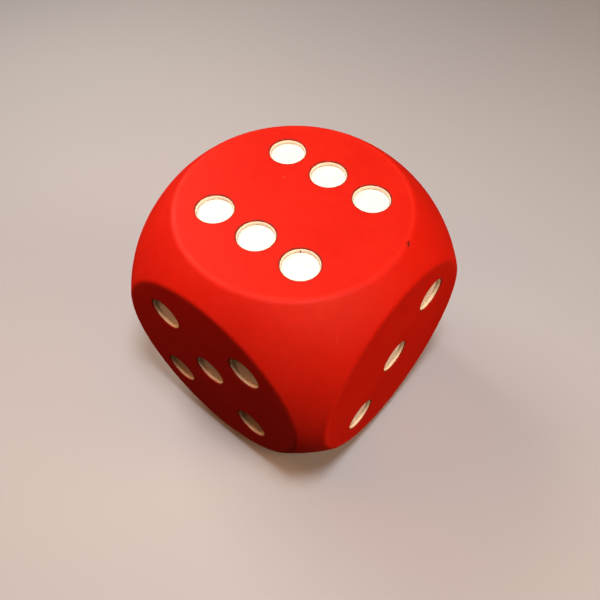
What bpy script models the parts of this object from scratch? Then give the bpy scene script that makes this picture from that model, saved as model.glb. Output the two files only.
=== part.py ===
"""Large play die: a foam block in a red rubbery coat, with a white liner in each of its 21 round recesses.

The body is a cube cut down by a ball. Each face keeps a flat disc, a small rolled edge runs round the disc,
and everything between two discs is ball. Metres, +Z up, origin under the middle of the face it stands on.
"""

import math

import bmesh
import bpy
from mathutils import Matrix, Vector

EDGE = 0.160  # flat to flat
HALF = EDGE / 2
BALL_RADIUS = 1.3125 * HALF
CREASE_RADIUS = 0.0036  # rolled edge between a flat disc and the ball

SKIN_THICKNESS = 0.0012
GAP = 0.0003  # left between neighbouring pieces

PIP_RADIUS = 0.130 * HALF  # inside the white wall
PIP_PITCH = 0.389 * HALF
PIP_DEPTH = 0.036 * HALF  # from the face to the white floor
LINER_WALL = 0.0005
LINER_FLOOR = 0.0008
RIM_DROP = 0.0007  # the liner's rim below the face

SIDES = 40  # round a face; a multiple of 8, so that neighbouring faces share their corners
CREASE_STEPS = 2
BALL_STEPS = 3
PIP_SIDES = 24
CUTTER_ABOVE = 0.004  # how far a pocket cutter stands out of the face

SKIN_RED = (0.78, 0.012, 0.012)
LINER_WHITE = (0.86, 0.84, 0.78)
FOAM_GREY = (0.55, 0.55, 0.50)

# Pips as (column, row) steps of PIP_PITCH along a face's own right and up directions.
DIAGONAL = [(-1, -1), (0, 0), (1, 1)]
CORNERS = [(-1, -1), (-1, 1), (1, -1), (1, 1)]
PIPS = {
    "one": [(0, 0)],
    "two": [(-1, 1), (1, -1)],
    "three": DIAGONAL,
    "four": CORNERS,
    "five": CORNERS + [(0, 0)],
    "six": [(column, row) for row in (-1, 1) for column in (-1, 0, 1)],
}

# Each face's outward normal and its right-hand direction; opposite faces add up to seven.
FACES = {
    "one": (Vector((0, 0, -1)), Vector((1, 0, 0))),
    "two": (Vector((0, 1, 0)), Vector((-1, 0, 0))),
    "three": (Vector((1, 0, 0)), Vector((0, 1, 0))),
    "four": (Vector((-1, 0, 0)), Vector((0, -1, 0))),
    "five": (Vector((0, -1, 0)), Vector((1, 0, 0))),
    "six": (Vector((0, 0, 1)), Vector((1, 0, 0))),
}


def clear_scene():
    for obj in list(bpy.data.objects):
        bpy.data.objects.remove(obj)


def new_collection(name):
    collection = bpy.data.collections.new(name)
    bpy.context.scene.collection.children.link(collection)
    return collection


def plain_material(name, color, roughness):
    material = bpy.data.materials.new(name)
    material.use_nodes = True
    shader = material.node_tree.nodes["Principled BSDF"]
    shader.inputs["Base Color"].default_value = (*color, 1.0)
    shader.inputs["Roughness"].default_value = roughness
    shader.inputs["Metallic"].default_value = 0.0
    return material


def new_object(name, mesh, collection, material=None):
    obj = bpy.data.objects.new(name, mesh)
    collection.objects.link(obj)
    if material:
        mesh.materials.clear()
        mesh.materials.append(material)
    return obj


def face_matrix(face):
    """Turns a face's own frame (right, up, outward, from the die's middle) into the die's."""
    normal, right = FACES[face]
    up = normal.cross(right)
    turn = Matrix((right, up, normal)).transposed().to_4x4()
    return Matrix.Translation((0, 0, HALF)) @ turn


def ring_profile(half, ball, crease, angle):
    """One meridian of a face from its flat disc to its border with the next face, as (radius, height) pairs.

    The rolled edge is the arc of a small circle that touches both the flat and the ball.
    """
    disc = math.sqrt((ball - crease) ** 2 - (half - crease) ** 2)
    tilt = math.atan2(disc, half - crease)
    border = math.atan2(1, max(abs(math.cos(angle)), abs(math.sin(angle))))
    profile = []
    for step in range(CREASE_STEPS + 1):
        roll = tilt * step / CREASE_STEPS
        profile.append((disc + crease * math.sin(roll), half - crease + crease * math.cos(roll)))
    for step in range(1, BALL_STEPS + 1):
        lean = tilt + (border - tilt) * step / BALL_STEPS
        profile.append((ball * math.sin(lean), ball * math.cos(lean)))
    return profile


def add_face_patch(bm, turn, half, ball, crease):
    """Lofts one face from its disc out to the square border, ring by ring, and turns it into place."""
    angles = [2 * math.pi * i / SIDES for i in range(SIDES)]
    meridians = [ring_profile(half, ball, crease, angle) for angle in angles]
    ring = bmesh.ops.create_circle(bm, cap_ends=True, segments=SIDES, radius=1.0)["verts"]
    patch = list(ring)
    for level in range(CREASE_STEPS + BALL_STEPS + 1):
        if level:
            edges = [bm.edges.get((ring[i - 1], ring[i])) for i in range(SIDES)]
            made = bmesh.ops.extrude_edge_only(bm, edges=edges)["geom"]
            fresh = {vert for vert in made if isinstance(vert, bmesh.types.BMVert)}
            ring = [next(e.other_vert(v) for e in v.link_edges if e.other_vert(v) in fresh) for v in ring]
            patch += ring
        for vert, angle, meridian in zip(ring, angles, meridians):
            radius, height = meridian[level]
            vert.co = (radius * math.cos(angle), radius * math.sin(angle), height)
    bmesh.ops.transform(bm, matrix=turn, verts=patch)


def rounded_cube(name, inset):
    """A closed mesh of the die's body, its surface set inward by inset."""
    bm = bmesh.new()
    for face in FACES:
        add_face_patch(bm, face_matrix(face), HALF - inset, BALL_RADIUS - inset, CREASE_RADIUS - inset)
    bmesh.ops.remove_doubles(bm, verts=bm.verts, dist=0.00001)
    bmesh.ops.recalc_face_normals(bm, faces=bm.faces)
    mesh = bpy.data.meshes.new(name)
    bm.to_mesh(mesh)
    bm.free()
    mesh.shade_smooth()
    return mesh


def pip_places():
    """Yields each pip's face, its number on that face, and the matrix that stands it in the face."""
    for face, places in PIPS.items():
        for number, (column, row) in enumerate(places, 1):
            offset = Vector((column * PIP_PITCH, row * PIP_PITCH, HALF))
            yield face, number, face_matrix(face) @ Matrix.Translation(offset)


def pocket_cutter(collection):
    """Round cutters for all the recesses: they pass through the skin and end in the foam, in blind pockets."""
    depth = PIP_DEPTH + LINER_FLOOR + GAP
    radius = PIP_RADIUS + LINER_WALL + GAP
    bm = bmesh.new()
    for _, _, place in pip_places():
        bmesh.ops.create_cone(
            bm,
            cap_ends=True,
            segments=PIP_SIDES,
            radius1=radius,
            radius2=radius,
            depth=depth + CUTTER_ABOVE,
            matrix=place @ Matrix.Translation((0, 0, (CUTTER_ABOVE - depth) / 2)),
        )
    mesh = bpy.data.meshes.new("pocket_cutters")
    bm.to_mesh(mesh)
    bm.free()
    cutter = new_object("pocket_cutters", mesh, collection)
    cutter.hide_render = True
    cutter.display_type = "WIRE"
    return cutter


def cut(obj, cutter):
    boolean = obj.modifiers.new("pockets", "BOOLEAN")
    boolean.operation = "DIFFERENCE"
    boolean.solver = "EXACT"
    boolean.object = cutter


def make_skin(collection, cutter):
    """The coat: a thin closed shell over the whole die, open at each recess."""
    material = plain_material("skin", SKIN_RED, 0.6)
    skin = new_object("skin", rounded_cube("skin", 0.0), collection, material)
    shell = skin.modifiers.new("shell", "SOLIDIFY")
    shell.thickness = SKIN_THICKNESS
    shell.offset = -1.0
    shell.use_even_offset = True
    shell.use_quality_normals = True
    cut(skin, cutter)


def make_foam_core(collection, cutter):
    """The block inside the coat, with a shallow pocket behind each recess."""
    material = plain_material("foam_core", FOAM_GREY, 0.9)
    mesh = rounded_cube("foam_core", SKIN_THICKNESS + GAP)
    cut(new_object("foam_core", mesh, collection, material), cutter)


def liner_profile():
    """Half section of a liner, from the middle of its floor over the rim to the middle of its underside."""
    outer = PIP_RADIUS + LINER_WALL
    under = -PIP_DEPTH - LINER_FLOOR
    return [
        (0, -PIP_DEPTH),
        (PIP_RADIUS, -PIP_DEPTH),
        (PIP_RADIUS, -RIM_DROP),
        (outer, -RIM_DROP),
        (outer, under),
        (0, under),
    ]


def make_pips(collection):
    """A white cup in each recess, turned from one profile."""
    material = plain_material("pip", LINER_WHITE, 0.5)
    points = [(radius, 0, height) for radius, height in liner_profile()]
    mesh = bpy.data.meshes.new("pip_profile")
    mesh.from_pydata(points, [(i, i + 1) for i in range(len(points) - 1)], [])
    for face, number, place in pip_places():
        pip = new_object(f"pip_{face}_{number}", mesh, collection, material)
        pip.matrix_world = place
        turned = pip.modifiers.new("turned", "SCREW")
        turned.steps = PIP_SIDES
        turned.render_steps = PIP_SIDES
        turned.use_merge_vertices = True
        turned.merge_threshold = 0.00001


def main():
    clear_scene()
    die = new_collection("foam_play_die")
    cutters = new_collection("cutters")
    cutter = pocket_cutter(cutters)
    make_skin(die, cutter)
    make_foam_core(die, cutter)
    make_pips(die)


main()
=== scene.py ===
"""Looks of the large play die: its red coat, the white liners of its pips and the foam inside.

Metres, in the frame's own axes. The coat and the liners are rebuilt more finely from the measures of the
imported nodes, and the foam core is shown as it is, with a foam material.
"""

import math
from collections import namedtuple

import bmesh
import bpy
from mathutils import Matrix, Quaternion, Vector, geometry, noise


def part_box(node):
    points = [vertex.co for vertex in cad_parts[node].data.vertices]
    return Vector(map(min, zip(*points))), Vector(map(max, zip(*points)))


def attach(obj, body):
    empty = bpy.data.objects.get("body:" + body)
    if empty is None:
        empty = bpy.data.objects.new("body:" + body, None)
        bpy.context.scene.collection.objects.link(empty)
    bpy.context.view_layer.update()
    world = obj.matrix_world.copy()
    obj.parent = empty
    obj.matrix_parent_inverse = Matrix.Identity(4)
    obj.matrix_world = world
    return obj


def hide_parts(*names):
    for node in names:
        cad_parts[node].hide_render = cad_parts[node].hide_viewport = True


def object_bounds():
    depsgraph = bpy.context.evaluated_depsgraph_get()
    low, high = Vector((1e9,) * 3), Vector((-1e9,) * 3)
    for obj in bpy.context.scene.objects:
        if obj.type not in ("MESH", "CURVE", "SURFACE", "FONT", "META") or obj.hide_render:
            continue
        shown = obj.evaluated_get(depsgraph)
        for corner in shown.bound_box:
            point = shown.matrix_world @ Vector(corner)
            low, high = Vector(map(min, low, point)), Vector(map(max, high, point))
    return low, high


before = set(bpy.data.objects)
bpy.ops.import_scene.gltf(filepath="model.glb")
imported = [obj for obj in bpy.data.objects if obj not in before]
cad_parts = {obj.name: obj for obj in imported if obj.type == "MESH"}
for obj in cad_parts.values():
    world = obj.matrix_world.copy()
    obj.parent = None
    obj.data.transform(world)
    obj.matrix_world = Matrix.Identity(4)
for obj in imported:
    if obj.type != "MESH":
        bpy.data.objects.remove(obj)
cad_low, cad_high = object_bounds()

# A pip's rim, floor and under are heights over its face, so below zero.
Pip = namedtuple("Pip", "node normal middle radius inner rim floor under")
Mark = namedtuple("Mark", "start end width strength color")
Light = namedtuple("Light", "name azimuth elevation distance size power color diffuse gloss")


def rgb(red, green, blue):
    return (red, green, blue, 1.0)


HALF = (cad_high.z - cad_low.z) / 2
CENTRE = (cad_low + cad_high) / 2
BODY = "root"

# Form of the coat
SKIN_THICKNESS = 0.0012
SOFTER = 0.0014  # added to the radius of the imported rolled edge; a wider edge only takes material away
SWELL_DEPTH = 0.00014  # broad unevenness of the surface, always inward
SWELL_LENGTH = 0.034
RIPPLE_DEPTH = 0.00003
RIPPLE_LENGTH = 0.009
CREASE_LINE = 0.0008  # half the width of the paler line where a flat starts to roll over, partly edge wear and partly painted highlight

# Mesh of the coat. Numbers of sides are multiples of 8, so that neighbouring faces share their corners.
SIDES = 160
CREASE_STEPS = 8
BALL_STEPS = 10
GRID = 0.0024  # spacing of the points on a flat
INNER_SIDES = 40
INNER_STEPS = 3
INNER_GRID = 0.009
EDGE_RING = 0.0014  # width of the ring between a flat's grid and its rolled edge
FLAT_MARGIN = 0.6  # in spacings, how far the grid stays inside that ring
HOLE_MARGIN = 0.5  # in spacings, how far it stays off a recess
ALL_TRIANGLES = 0  # delaunay_2d_cdt's output type that fills the outline
TINY = 1e-9
WELD = 0.00001

# Recesses
GAP = 0.0001  # between a liner and the coat
LIP = 0.0004  # rounding of the coat's edge round a recess
LIP_STEPS = 5
HALO = 0.0007  # how far the darker brown round a recess spreads out onto the flat
CLEAN_WALL = 0.7  # the share of that darker brown that is gone where the coat's wall meets the liner

# Liners
PIP_SIDES = 64
LINER_WALL = 0.0005
LINER_FLOOR = 0.0008
FLOOR_RINGS = 12
RIM_STEPS = 8
GROOVE = 0.00016  # size of the groove between floor and wall, coloured darker brown
# Points of the groove's section, out from the foot of the wall and up from the floor, in sizes of the groove
GROOVE_SECTION = [(-1, 0), (-0.6, -0.4), (-0.25, -0.3), (-0.05, 0.4), (0, 1.5)]
CORNER_REACH = 0.0005  # the darker brown round the groove fades to a third over this distance
FLOOR_WAVE = 0.00005  # unevenness of the floor
FLOOR_WAVE_LENGTH = 0.006
FINE_WELD = WELD / 10  # the groove's points lie close together
# How far a liner is tinted brown as painted shade, 0 to 1; the others aren't
SHADE_BROWNED = {"pip_five_1": 0.7, "pip_five_3": 0.9, "pip_five_4": 0.3, "pip_five_5": 0.2}

# A small cut at the right edge of the six: a dent, with the first two coat marks in it
NICK = Vector((0.0661, 0.0165, 0.1594))
NICK_ALONG = Vector((0.53, -0.85, -0.13)).normalized()
NICK_LENGTH = 0.0023
NICK_WIDTH = 0.0006
NICK_DEPTH = 0.0004

# Short straight marks: on the coat the two strokes of the cut, a scuff on the near corner and a speck of lint
# on the six, and in a recess of the six a crumb
COAT_MARKS = [
    Mark((0.0652, 0.0179, 0.1596), (0.0669, 0.0152, 0.1591), 0.0012, 0.85, rgb(0.12, 0.010, 0.004)),
    Mark((0.0660, 0.0168, 0.1594), (0.0650, 0.0160, 0.1598), 0.0012, 0.85, rgb(0.12, 0.010, 0.004)),
    Mark((0.0676, -0.0462, 0.1456), (0.0693, -0.0477, 0.1427), 0.0012, 0.12, rgb(0.80, 0.12, 0.07)),
    Mark((-0.0182, 0.0127, 0.1600), (-0.0178, 0.0130, 0.1600), 0.0010, 0.15, rgb(0.80, 0.40, 0.30)),
]
LINER_MARKS = [
    Mark((0.0246, -0.0231, 0.1580), (0.0244, -0.0233, 0.1574), 0.0010, 1.0, rgb(0.03, 0.03, 0.02)),
]

# Colours of the coat
RED = rgb(0.58, 0.0094, 0.0026)
BRIGHT_RED = rgb(0.64, 0.0124, 0.0036)
MOTTLE_RED = rgb(0.53, 0.0086, 0.0024)
WORN_AND_HIGHLIGHT_RED = rgb(0.74, 0.034, 0.014)
SCRATCHED_RED = rgb(0.72, 0.045, 0.025)
SPECK_BROWN = rgb(0.20, 0.014, 0.010)
RECESS_EDGE_BROWN = rgb(0.20, 0.022, 0.010)
NICK_BROWN = rgb(0.16, 0.010, 0.006)

# Colours of the liners
FLOOR_WHITE = rgb(0.91, 0.90, 0.91)
FLOOR_WARM = rgb(0.89, 0.88, 0.86)
WALL_SHADE_CREAM = rgb(0.92, 0.83, 0.63)
WALL_SHADE_WARM = rgb(0.89, 0.79, 0.58)
PAINTED_SHADE_BROWN = rgb(0.54, 0.30, 0.18)
CORNER_BROWN = rgb(0.25, 0.21, 0.12)
CORNER_HAZE_BROWN = rgb(0.55, 0.50, 0.38)
SPECK_GREY = rgb(0.10, 0.09, 0.06)

# Colours of the foam and of the studio floor
FOAM_CREAM = rgb(0.60, 0.55, 0.42)
FOAM_PALE = rgb(0.70, 0.66, 0.54)
FOAM_PORE_SHADE = rgb(0.30, 0.26, 0.18)
STUDIO_GREY = rgb(0.50, 0.53, 0.58)
STUDIO_PALE = rgb(0.52, 0.55, 0.60)

# Hairline scratches: noise turned by these degrees, then squeezed across their run far more than along it
SCRATCH_TURN = (20, 35, 50)
SCRATCH_SQUEEZE = (12.0, 900.0, 900.0)

# Camera: in front of the near corner, looking down
CAMERA_AIM = Vector((0.0058, -0.0021, 0.0761))
CAMERA_AZIMUTH = 40.52
CAMERA_ELEVATION = 53.71
CAMERA_ROLL = -0.55
CAMERA_DISTANCE = 0.4123
CAMERA_LENS = 37.4  # in mm, as is the sensor's width
CAMERA_SENSOR = 36.0
CAMERA_CLIP = 0.01

# Round lamps aimed at the die's middle: degrees, metres and watts. The last two values say whether a lamp
# lights the surfaces' own colour, and whether it shows in their gloss.
LIGHTS = [
    Light("overhead", 60.0, 77.5, 0.8, 0.18, 4.1, (1.0, 0.95, 0.92), True, True),
    Light("left", 265.0, 46.0, 0.8, 0.4, 3.3, (1.0, 0.86, 0.70), True, True),
    Light("right", 120.0, 20.0, 1.8, 0.9, 15.0, (1.0, 0.60, 0.36), True, False),
    Light("right_near", 90.0, 35.0, 0.5, 0.25, 0.65, (1.0, 0.62, 0.38), True, False),
    Light("front", 318.0, 45.0, 0.40, 0.2, 0.52, (1.0, 0.42, 0.18), True, False),
    Light("sheen", 62.0, 48.0, 0.8, 0.2, 3.0, (1.0, 0.50, 0.18), False, True),
]
WORLD_COLOR = rgb(1.0, 0.55, 0.35)
WORLD_STRENGTH = 0.04

# Studio floor
STUDIO_SIZE = 6.0
STUDIO_CELLS = 8
STUDIO_DROP = 0.0002  # below the die


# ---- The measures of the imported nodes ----


def find_pip(node):
    """A pip's place on its face, from its node's box."""
    low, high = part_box(node)
    size = high - low
    axis = min(range(3), key=lambda i: size[i])
    middle = (low + high) / 2
    normal = Vector((0.0, 0.0, 0.0))
    normal[axis] = math.copysign(1.0, middle[axis] - CENTRE[axis])
    under, rim = sorted(abs(end[axis] - CENTRE[axis]) - HALF for end in (low, high))
    middle[axis] = CENTRE[axis] + normal[axis] * HALF
    radius = max(size) / 2
    return Pip(node, normal, middle, radius, radius - LINER_WALL, rim, under + LINER_FLOOR, under)


def find_form():
    """Radius of the ball, and of the rolled edge between it and a flat disc, from the coat's node."""
    points = [vertex.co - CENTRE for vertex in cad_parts["skin"].data.vertices]
    ball = max(point.length for point in points)
    disc = max(point.xy.length for point in points if HALF - point.z < WELD)
    crease = (ball**2 - HALF**2 - disc**2) / (2 * (ball - HALF))
    return ball, crease


PIPS = [find_pip(node) for node in sorted(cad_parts) if node.startswith("pip_")]
FACES = sorted({tuple(pip.normal) for pip in PIPS})  # the six outward normals
BALL, PACKED_CREASE = find_form()
CREASE = PACKED_CREASE + SOFTER
DISC = math.sqrt((BALL - CREASE) ** 2 - (HALF - CREASE) ** 2)  # where the wider rolled edge leaves a flat
HOLE = PIPS[0].radius + GAP


def face_matrix(normal):
    """Turns a face's own frame (right, up, outward, from the die's middle) into the die's."""
    right = Vector((normal.z, normal.x, normal.y))
    turn = Matrix((right, normal.cross(right), normal)).transposed().to_4x4()
    return Matrix.Translation(CENTRE) @ turn


def from_axis(pip, point):
    """A point's distance from a pip's axis, and its height over the pip's face."""
    out = point - pip.middle
    height = out.dot(pip.normal)
    return (out - height * pip.normal).length, height


# ---- Shares from 0 to 1 that the materials read at each vertex ----


def clamp(value):
    return max(0.0, min(1.0, value))


def crease_share(point):
    """1 where the nearest flat starts to roll over, 0 away from there; it places the paler line that is
    partly edge wear and partly painted highlight.
    """
    smallest, middle, _ = sorted(abs(x) for x in point - CENTRE)
    return math.exp(-(((DISC - math.hypot(smallest, middle)) / CREASE_LINE) ** 2))


def lip_share(point):
    """0 on the open surface, 1 where it rolls into a recess, less again down the recess's wall."""
    nearest = min(PIPS, key=lambda pip: (point - pip.middle).length)
    radius, height = from_axis(nearest, point)
    spread = clamp((HOLE + LIP + HALO - radius) / (LIP + HALO))
    return spread * (1 - CLEAN_WALL * clamp(height / nearest.rim))


def nick_share(point):
    """1 in the middle of the nick, falling to 0 at its ends and sides."""
    out = point - NICK
    along = out.dot(NICK_ALONG)
    across = (out - along * NICK_ALONG).length
    return math.exp(-((along / NICK_LENGTH) ** 4) - (across / NICK_WIDTH) ** 2)


def corner_share(pip, point):
    """1 in the corner between a liner's floor and its wall, falling to 0 away from it."""
    radius, height = from_axis(pip, point)
    return math.exp(-math.hypot(radius - pip.inner, height - pip.floor) / CORNER_REACH)


def wall_share(pip, point):
    """0 at a liner's floor, 1 at its rim."""
    _, height = from_axis(pip, point)
    return clamp((height - pip.floor) / (pip.rim - pip.floor))


def add_share(mesh, name, share):
    """Stores a share at each vertex, as an attribute of the mesh."""
    layer = mesh.attributes.new(name, "FLOAT", "POINT")
    layer.data.foreach_set("value", [share(vertex.co) for vertex in mesh.vertices])


# ---- Meshes ----


def circle(radius, sides, middle=(0.0, 0.0)):
    angles = [2 * math.pi * i / sides for i in range(sides)]
    return [(middle[0] + radius * math.cos(a), middle[1] + radius * math.sin(a)) for a in angles]


def hex_grid(radius, spacing):
    """Points of a triangular grid within a disc."""
    row_height = spacing * math.sqrt(0.75)
    rows = int(radius / row_height) + 1
    points = []
    for row in range(-rows, rows + 1):
        for column in range(-rows, rows + 1):
            x = (column + (row % 2) / 2) * spacing
            y = row * row_height
            if math.hypot(x, y) < radius:
                points.append((x, y))
    return points


def pierced_disc(radius, sides, holes, hole_radius, spacing):
    """(points, triangles) of a flat disc with round holes."""
    loops = [circle(radius, sides)] + [circle(hole_radius, PIP_SIDES, hole) for hole in holes]
    points = []
    edges = []
    for loop in loops:
        first = len(points)
        points += loop
        edges += [(first + i, first + (i + 1) % len(loop)) for i in range(len(loop))]
    clear = hole_radius + HOLE_MARGIN * spacing
    for x, y in hex_grid(radius - FLAT_MARGIN * spacing, spacing):
        if all(math.hypot(x - hole[0], y - hole[1]) > clear for hole in holes):
            points.append((x, y))
    made = geometry.delaunay_2d_cdt([Vector(point) for point in points], edges, [], ALL_TRIANGLES, TINY)
    corners, triangles = made[0], made[2]
    kept = []  # the triangles that don't cover a hole
    for triangle in triangles:
        middle = sum((corners[i] for i in triangle), Vector((0.0, 0.0))) / 3
        if all((middle - Vector(hole)).length > hole_radius for hole in holes):
            kept.append(triangle)
    return corners, kept


def add_rings(bm, turn, rings):
    """Joins rings of (x, y, z) points, each with as many points, into a band of quads."""
    rows = [[bm.verts.new(turn @ Vector(point)) for point in ring] for ring in rings]
    for above, below in zip(rows, rows[1:]):
        for i in range(len(above)):
            j = (i + 1) % len(above)
            bm.faces.new((above[i], below[i], below[j], above[j]))


def meridian(angle, inset, crease_steps, ball_steps):
    """(radius, height) pairs from a face's flat, over its rolled edge, to its border with the next face."""
    half, ball, crease = HALF - inset, BALL - inset, CREASE - inset
    tilt = math.atan2(DISC, half - crease)
    border = math.atan2(1, max(abs(math.cos(angle)), abs(math.sin(angle))))
    pairs = [(DISC - EDGE_RING, half)]
    for step in range(crease_steps + 1):
        roll = tilt * step / crease_steps
        pairs.append((DISC + crease * math.sin(roll), half - crease + crease * math.cos(roll)))
    for step in range(1, ball_steps + 1):
        lean = tilt + (border - tilt) * step / ball_steps
        pairs.append((ball * math.sin(lean), ball * math.cos(lean)))
    return pairs


def edge_rings(inset, sides, crease_steps, ball_steps):
    """The meridians all round one face, as rings."""
    lines = []
    for i in range(sides):
        angle = 2 * math.pi * i / sides
        line = []
        for radius, height in meridian(angle, inset, crease_steps, ball_steps):
            line.append((radius * math.cos(angle), radius * math.sin(angle), height))
        lines.append(line)
    return list(zip(*lines))


def add_coat_surface(bm, inset, sides, crease_steps, ball_steps, hole_radius, spacing):
    """One side of the coat, set inward by inset, with a round hole at each pip."""
    for face in FACES:
        turn = face_matrix(Vector(face))
        back = turn.inverted()
        holes = [(back @ pip.middle).xy for pip in PIPS if tuple(pip.normal) == face]
        points, triangles = pierced_disc(DISC - EDGE_RING, sides, holes, hole_radius, spacing)
        verts = [bm.verts.new(turn @ Vector((*point, HALF - inset))) for point in points]
        for triangle in triangles:
            bm.faces.new([verts[i] for i in triangle])
        add_rings(bm, turn, edge_rings(inset, sides, crease_steps, ball_steps))


def add_lips(bm):
    """A narrow flat ring round each recess, the coat's rounded edge, and the short wall below it."""
    section = [(HOLE + LIP + HALO, 0.0)]
    for step in range(LIP_STEPS + 1):
        roll = math.pi / 2 * step / LIP_STEPS
        section.append((HOLE + LIP * (1 - math.sin(roll)), -LIP * (1 - math.cos(roll))))
    section.append((HOLE, -SKIN_THICKNESS))
    for pip in PIPS:
        turn = face_matrix(pip.normal)
        middle = (turn.inverted() @ pip.middle).xy
        rings = []
        for radius, height in section:
            rings.append([(x, y, HALF + height) for x, y in circle(radius, PIP_SIDES, middle)])
        add_rings(bm, turn, rings)


def depth_below_surface(point):
    """How far a point lies inside the ball-cut cube."""
    out = point - CENTRE
    return min(HALF - max(abs(x) for x in out), BALL - out.length)


def inward_depth(point):
    """How far the outer surface sits inside its perfect form here; nothing on the coat's inner side."""
    surface = max(0.0, 1 - depth_below_surface(point) / SKIN_THICKNESS)
    swell = SWELL_DEPTH * (0.5 + 0.5 * noise.noise(point / SWELL_LENGTH))
    ripple = RIPPLE_DEPTH * (0.5 + 0.5 * noise.noise(point / RIPPLE_LENGTH))
    return surface * (swell + ripple + NICK_DEPTH * nick_share(point))


def coat_mesh():
    """The coat as one closed shell: outer surface, lips, and a plainer inner surface."""
    bm = bmesh.new()
    add_coat_surface(bm, 0.0, SIDES, CREASE_STEPS, BALL_STEPS, HOLE + LIP + HALO, GRID)
    add_lips(bm)
    add_coat_surface(bm, SKIN_THICKNESS, INNER_SIDES, INNER_STEPS, INNER_STEPS, HOLE, INNER_GRID)
    bmesh.ops.remove_doubles(bm, verts=bm.verts, dist=WELD)
    bmesh.ops.recalc_face_normals(bm, faces=bm.faces)
    bm.normal_update()
    moves = [vert.normal * inward_depth(vert.co) for vert in bm.verts]
    mesh = bpy.data.meshes.new("skin_coat")
    bm.to_mesh(mesh)
    bm.free()
    add_share(mesh, "crease", crease_share)
    add_share(mesh, "lip", lip_share)
    add_share(mesh, "nick", nick_share)
    for vertex, move in zip(mesh.vertices, moves):
        vertex.co -= move
    mesh.shade_smooth()
    return mesh


def liner_section(pip):
    """Half section of a liner, from the middle of its floor over the rim to the middle of its underside."""
    bead = LINER_WALL / 2
    section = [(pip.inner * step / FLOOR_RINGS, pip.floor) for step in range(FLOOR_RINGS)]
    section += [(pip.inner + out * GROOVE, pip.floor + up * GROOVE) for out, up in GROOVE_SECTION]
    section.append((pip.inner, (pip.floor + pip.rim - bead) / 2))
    for step in range(RIM_STEPS + 1):
        turn = math.pi * step / RIM_STEPS
        section.append((pip.inner + bead * (1 - math.cos(turn)), pip.rim - bead * (1 - math.sin(turn))))
    cut = 0.3 * bead  # rounds the edge of the underside, with one point between its wall and its flat
    section.append((pip.radius, pip.under + bead))
    section.append((pip.radius - cut, pip.under + cut))
    section.append((pip.radius - bead, pip.under))
    section.append((pip.radius / 2, pip.under))
    section.append((0.0, pip.under))
    return section


def liner_mesh(pip):
    """A liner turned from its section and set in its face, with a slightly uneven floor."""
    turn = face_matrix(pip.normal)
    place = turn @ Matrix.Translation(turn.inverted() @ pip.middle)
    rings = []
    for radius, height in liner_section(pip):
        rings.append([(x, y, height) for x, y in circle(radius, PIP_SIDES)])
    bm = bmesh.new()
    add_rings(bm, place, rings)
    bmesh.ops.remove_doubles(bm, verts=bm.verts, dist=FINE_WELD)
    bmesh.ops.recalc_face_normals(bm, faces=bm.faces)
    for vert in bm.verts:
        radius, height = from_axis(pip, vert.co)
        if radius < pip.inner and abs(height - pip.floor) < GROOVE:
            vert.co += pip.normal * FLOOR_WAVE * noise.noise(vert.co / FLOOR_WAVE_LENGTH)
    mesh = bpy.data.meshes.new(liner_name(pip))
    bm.to_mesh(mesh)
    bm.free()
    add_share(mesh, "corner", lambda point: corner_share(pip, point))
    add_share(mesh, "wall", lambda point: wall_share(pip, point))
    add_share(mesh, "painted_shade", lambda point: SHADE_BROWNED.get(pip.node, 0.0))
    mesh.shade_smooth()
    return mesh


def liner_name(pip):
    return pip.node.replace("pip", "liner")


# ---- Materials ----


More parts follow.
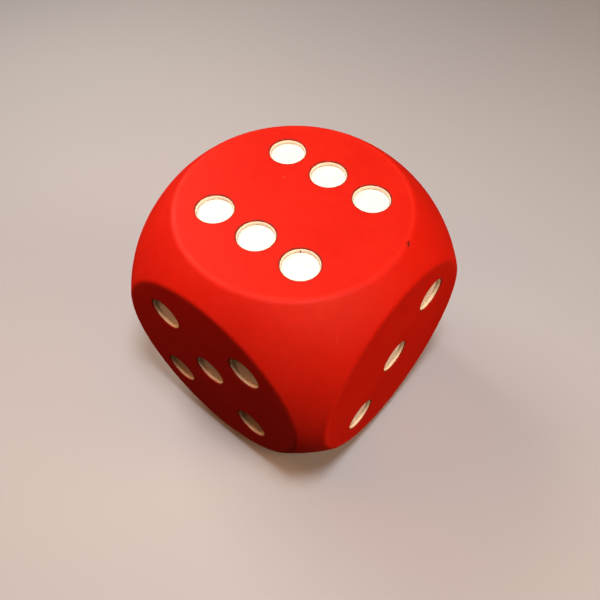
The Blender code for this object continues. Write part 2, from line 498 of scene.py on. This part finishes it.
class Nodes:
    """Short calls that build one material's node tree. Sizes are in metres on the object."""

    def __init__(self, name):
        self.material = bpy.data.materials.new(name)
        self.material.use_nodes = True
        self.tree = self.material.node_tree
        self.place = self.tree.nodes.new("ShaderNodeTexCoord").outputs["Object"]

    def put(self, socket, value):
        """Links a socket to another node's output, or sets its value."""
        if isinstance(value, bpy.types.NodeSocket):
            self.tree.links.new(value, socket)
        else:
            socket.default_value = value

    def shade(self, name, value):
        """Gives the shader one of its inputs."""
        self.put(self.tree.nodes["Principled BSDF"].inputs[name], value)

    def noise(self, size, detail=2.0, roughness=0.5, place=None):
        node = self.tree.nodes.new("ShaderNodeTexNoise")
        self.put(node.inputs["Vector"], place or self.place)
        node.inputs["Scale"].default_value = 1 / size
        node.inputs["Detail"].default_value = detail
        node.inputs["Roughness"].default_value = roughness
        return node.outputs["Fac"]

    def cells(self, size, feature="F1"):
        """Distance from the nearest of many scattered points."""
        node = self.tree.nodes.new("ShaderNodeTexVoronoi")
        node.feature = feature
        self.put(node.inputs["Vector"], self.place)
        node.inputs["Scale"].default_value = 1 / size
        return node.outputs["Distance"]

    def attribute(self, name):
        node = self.tree.nodes.new("ShaderNodeAttribute")
        node.attribute_name = name
        return node.outputs["Fac"]

    def math(self, operation, first, second):
        node = self.tree.nodes.new("ShaderNodeMath")
        node.operation = operation
        self.put(node.inputs[0], first)
        self.put(node.inputs[1], second)
        return node.outputs[0]

    def vector(self, operation, first, second):
        node = self.tree.nodes.new("ShaderNodeVectorMath")
        node.operation = operation
        self.put(node.inputs[0], first)
        self.put(node.inputs["Scale" if operation == "SCALE" else 1], second)
        return node.outputs["Value" if operation in ("DOT_PRODUCT", "DISTANCE") else "Vector"]

    def ramp(self, value, low, high, to_low=0.0, to_high=1.0):
        """Takes low to to_low and high to to_high, smoothly, and holds those values beyond them."""
        node = self.tree.nodes.new("ShaderNodeMapRange")
        node.interpolation_type = "SMOOTHSTEP"
        self.put(node.inputs["Value"], value)
        node.inputs["From Min"].default_value = low
        node.inputs["From Max"].default_value = high
        node.inputs["To Min"].default_value = to_low
        node.inputs["To Max"].default_value = to_high
        return node.outputs["Result"]

    def mix(self, share, first, second):
        """The first colour at share 0, the second at 1, by the Mix node's colour sockets."""
        node = self.tree.nodes.new("ShaderNodeMix")
        node.data_type = "RGBA"
        self.put(node.inputs[0], share)
        self.put(node.inputs[6], first)
        self.put(node.inputs[7], second)
        return node.outputs[2]

    def tint(self, color, other, share, strength=1.0):
        """The colour with another laid over it, as far as share and strength say."""
        return self.mix(self.math("MULTIPLY", share, strength), color, other)

    def squeezed(self, turn, squeeze):
        """Object coordinates turned and then scaled, for marks that run one way."""
        node = self.tree.nodes.new("ShaderNodeMapping")
        self.put(node.inputs["Vector"], self.place)
        node.inputs["Rotation"].default_value = [math.radians(angle) for angle in turn]
        node.inputs["Scale"].default_value = squeeze
        return node.outputs["Vector"]

    def stroke(self, mark):
        """1 along a short straight mark, fading to 0 at its sides."""
        start = Vector(mark.start)
        along = Vector(mark.end) - start
        out = self.vector("SUBTRACT", self.place, start)
        share = self.vector("DOT_PRODUCT", out, along / along.length_squared)
        share = self.math("MINIMUM", self.math("MAXIMUM", share, 0.0), 1.0)
        nearest = self.vector("SCALE", along, share)
        return self.ramp(self.vector("DISTANCE", out, nearest), 0.5 * mark.width, 0.25 * mark.width)

    def bump(self, height, distance, under=None):
        node = self.tree.nodes.new("ShaderNodeBump")
        node.inputs["Distance"].default_value = distance
        self.put(node.inputs["Height"], height)
        if under:
            self.put(node.inputs["Normal"], under)
        return node.outputs["Normal"]


def coat_scratches(nodes):
    """Hairline scratches in patches, all running one way."""
    place = nodes.squeezed(SCRATCH_TURN, SCRATCH_SQUEEZE)
    hairline = nodes.ramp(nodes.noise(1.0, 1.0, 0.4, place), 0.72, 0.76)
    patchy = nodes.ramp(nodes.noise(0.03, 2.0), 0.55, 0.65)
    return nodes.math("MULTIPLY", hairline, patchy)


def coat_color(nodes, worn_and_highlight, scratches):
    """Cloudy red, with specks, darker brown round the recesses, a paler rolled edge that is partly painted
    highlight, and the marks.
    """
    cloud = nodes.ramp(nodes.noise(0.045, 3.0), 0.3, 0.7)
    mottle = nodes.ramp(nodes.noise(0.006, 3.0, 0.6), 0.3, 0.7)
    color = nodes.mix(cloud, RED, BRIGHT_RED)
    color = nodes.tint(color, MOTTLE_RED, mottle, 0.35)
    # A paler line where a flat rolls over: partly edge wear, partly painted highlight.
    color = nodes.tint(color, WORN_AND_HIGHLIGHT_RED, worn_and_highlight, 0.4)
    color = nodes.tint(color, SCRATCHED_RED, scratches, 0.25)

    speck = nodes.ramp(nodes.cells(0.007), 0.028, 0.018)
    some = nodes.ramp(nodes.noise(0.011, 1.0), 0.56, 0.60)
    color = nodes.tint(color, SPECK_BROWN, nodes.math("MULTIPLY", speck, some), 0.55)

    # Darker brown round each recess, in patches.
    edge_darkening = nodes.ramp(nodes.attribute("lip"), 0.0, 0.65)
    patches = nodes.ramp(nodes.noise(0.004, 2.0), 0.3, 0.6, 0.3, 0.75)
    color = nodes.tint(color, RECESS_EDGE_BROWN, nodes.math("MULTIPLY", edge_darkening, patches))

    color = nodes.tint(color, NICK_BROWN, nodes.attribute("nick"), 0.5)
    for mark in COAT_MARKS:
        color = nodes.tint(color, mark.color, nodes.stroke(mark), mark.strength)
    return color


def coat_material():
    """Rubbery red coat with a fine leathery grain, a little smoother where its edges are rubbed."""
    nodes = Nodes("coat")
    wear = nodes.ramp(nodes.noise(0.014, 4.0, 0.65), 0.35, 0.65, 0.4, 1.0)
    worn_and_highlight = nodes.math("MULTIPLY", nodes.attribute("crease"), wear)
    scratches = coat_scratches(nodes)
    nodes.shade("Base Color", coat_color(nodes, worn_and_highlight, scratches))

    rough = nodes.ramp(nodes.noise(0.02, 4.0, 0.6), 0.25, 0.75, 0.48, 0.60)
    rough = nodes.math("SUBTRACT", rough, nodes.math("MULTIPLY", worn_and_highlight, 0.10))
    rough = nodes.math("ADD", rough, nodes.math("MULTIPLY", scratches, 0.08))
    nodes.shade("Roughness", rough)
    nodes.shade("Specular IOR Level", 0.16)

    pebbles = nodes.cells(0.0016, "SMOOTH_F1")
    grain = nodes.noise(0.0009, 3.0, 0.55)
    height = nodes.math("ADD", nodes.math("MULTIPLY", pebbles, 0.8), grain)
    height = nodes.math("SUBTRACT", height, nodes.math("MULTIPLY", scratches, 0.8))
    fine = nodes.bump(height, 0.00003)
    nodes.shade("Normal", nodes.bump(nodes.noise(0.005, 2.0), 0.00012, fine))
    return nodes.material


def liner_color(nodes):
    """White floor, and a wall whose cream is painted shade; some liners browner with painted shade, darker
    brown in the corner, and a few specks.
    """
    corner = nodes.attribute("corner")
    wall = nodes.attribute("wall")
    cloud = nodes.ramp(nodes.noise(0.007, 3.0, 0.6), 0.3, 0.7)
    color = nodes.mix(cloud, FLOOR_WHITE, FLOOR_WARM)
    # Painted shade: the wall is the floor's paint, coloured cream for the warm shade it gets.
    wall_shade = nodes.mix(cloud, WALL_SHADE_CREAM, WALL_SHADE_WARM)
    color = nodes.mix(nodes.ramp(wall, 0.0, 0.12, 0.0, 0.9), color, wall_shade)

    # Painted shade: some liners of the five are tinted brown for the shade in their recesses, mostly on the
    # floor.
    uneven = nodes.ramp(nodes.noise(0.010, 2.0), 0.3, 0.7, 0.8, 1.0)
    painted_shade = nodes.math("MULTIPLY", nodes.attribute("painted_shade"), uneven)
    painted_shade = nodes.math("MULTIPLY", painted_shade, nodes.ramp(wall, 0.0, 0.15, 1.0, 0.2))
    color = nodes.mix(painted_shade, color, PAINTED_SHADE_BROWN)

    # Darker brown along the corner between floor and wall, broken up, and a faint brown haze towards it.
    broken = nodes.ramp(nodes.noise(0.0012, 3.0, 0.7), 0.40, 0.62, 0.45, 0.9)
    line = nodes.math("MULTIPLY", nodes.ramp(corner, 0.40, 0.72), broken)
    color = nodes.tint(color, CORNER_BROWN, line, 0.9)
    color = nodes.tint(color, CORNER_HAZE_BROWN, nodes.ramp(corner, 0.15, 0.8), 0.15)

    speck = nodes.ramp(nodes.cells(0.0030), 0.075, 0.050)
    near_wall = nodes.ramp(corner, 0.0005, 0.04)
    some = nodes.math("MULTIPLY", nodes.ramp(nodes.noise(0.005, 1.0), 0.50, 0.58), near_wall)
    color = nodes.tint(color, SPECK_GREY, nodes.math("MULTIPLY", speck, some))
    for mark in LINER_MARKS:
        color = nodes.tint(color, mark.color, nodes.stroke(mark), mark.strength)
    return color


def liner_material():
    """Matt white paint with a fine grain."""
    nodes = Nodes("liner")
    nodes.shade("Base Color", liner_color(nodes))
    nodes.shade("Roughness", nodes.ramp(nodes.noise(0.004, 3.0, 0.6), 0.25, 0.75, 0.50, 0.66))
    nodes.shade("Specular IOR Level", 0.35)
    nodes.shade("Normal", nodes.bump(nodes.noise(0.0007, 3.0, 0.6), 0.00004))
    return nodes.material


def foam_material():
    """Open-celled cream foam, with painted shade in its pores, which are also rougher."""
    nodes = Nodes("foam")
    wall = nodes.ramp(nodes.cells(0.0011, "SMOOTH_F1"), 0.10, 0.45)
    cloud = nodes.ramp(nodes.noise(0.03, 3.0), 0.3, 0.7)
    color = nodes.mix(cloud, FOAM_CREAM, FOAM_PALE)
    # Painted shade in the pores.
    color = nodes.tint(color, FOAM_PORE_SHADE, nodes.ramp(wall, 0.0, 1.0, 0.8, 0.0), 0.7)
    nodes.shade("Base Color", color)
    nodes.shade("Roughness", nodes.ramp(wall, 0.0, 1.0, 0.98, 0.85))
    nodes.shade("Specular IOR Level", 0.15)
    nodes.shade("Normal", nodes.bump(wall, 0.0003))
    return nodes.material


def studio_material():
    """Plain pale studio floor."""
    nodes = Nodes("studio_floor")
    tone = nodes.ramp(nodes.noise(0.5, 2.0), 0.3, 0.7)
    nodes.shade("Base Color", nodes.mix(tone, STUDIO_GREY, STUDIO_PALE))
    nodes.shade("Roughness", 0.9)
    nodes.shade("Specular IOR Level", 0.1)
    return nodes.material


# ---- The pieces ----


def new_object(name, data):
    obj = bpy.data.objects.new(name, data)
    bpy.context.scene.collection.objects.link(obj)
    return obj


def make_coat():
    mesh = coat_mesh()
    mesh.materials.append(coat_material())
    coat = new_object("skin_coat", mesh)
    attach(coat, BODY)
    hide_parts("skin")


def make_liners():
    material = liner_material()
    for pip in PIPS:
        mesh = liner_mesh(pip)
        mesh.materials.append(material)
        liner = new_object(liner_name(pip), mesh)
        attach(liner, BODY)
        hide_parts(pip.node)


def dress_foam_core():
    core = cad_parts["foam_core"]
    core.data.materials.clear()
    core.data.materials.append(foam_material())


# ---- Stage ----


def direction(azimuth, elevation):
    """From the die towards an azimuth, from its front round by its right, and an elevation above level."""
    around, above = math.radians(azimuth), math.radians(elevation)
    level = math.cos(above)
    return Vector((math.sin(around) * level, -math.cos(around) * level, math.sin(above)))


def make_camera():
    camera = new_object("camera", bpy.data.cameras.new("camera"))
    camera.data.lens = CAMERA_LENS
    camera.data.sensor_width = CAMERA_SENSOR
    camera.data.clip_start = CAMERA_CLIP
    back = direction(CAMERA_AZIMUTH, CAMERA_ELEVATION)
    roll = Quaternion((0, 0, 1), math.radians(CAMERA_ROLL))
    camera.location = CAMERA_AIM + CAMERA_DISTANCE * back
    camera.rotation_mode = "QUATERNION"
    camera.rotation_quaternion = (-back).to_track_quat("-Z", "Y") @ roll
    bpy.context.scene.camera = camera


def make_lamp(light):
    lamp = bpy.data.lights.new(light.name, "AREA")
    lamp.shape = "DISK"
    lamp.size = light.size
    lamp.energy = light.power
    lamp.color = light.color
    obj = new_object(light.name, lamp)
    obj.visible_diffuse = light.diffuse
    obj.visible_glossy = light.gloss
    away = direction(light.azimuth, light.elevation)
    obj.location = CENTRE + light.distance * away
    obj.rotation_mode = "QUATERNION"
    obj.rotation_quaternion = (-away).to_track_quat("-Z", "Y")


def make_world():
    """A faint warm fill from all round."""
    world = bpy.data.worlds.new("studio")
    world.use_nodes = True
    background = world.node_tree.nodes["Background"]
    background.inputs["Color"].default_value = WORLD_COLOR
    background.inputs["Strength"].default_value = WORLD_STRENGTH
    bpy.context.scene.world = world


def make_floor():
    """The floor shows, but throws no light back on the die and isn't mirrored in it."""
    bm = bmesh.new()
    bmesh.ops.create_grid(bm, x_segments=STUDIO_CELLS, y_segments=STUDIO_CELLS, size=STUDIO_SIZE / 2)
    mesh = bpy.data.meshes.new("studio_floor")
    bm.to_mesh(mesh)
    bm.free()
    mesh.materials.append(studio_material())
    floor = new_object("studio_floor", mesh)
    floor.location.z = cad_low.z - STUDIO_DROP
    floor.visible_diffuse = False
    floor.visible_glossy = False


make_camera()
for light in LIGHTS:
    make_lamp(light)
make_world()
make_floor()
make_coat()
make_liners()
dress_foam_core()
bpy.context.scene.view_settings.view_transform = "Standard"
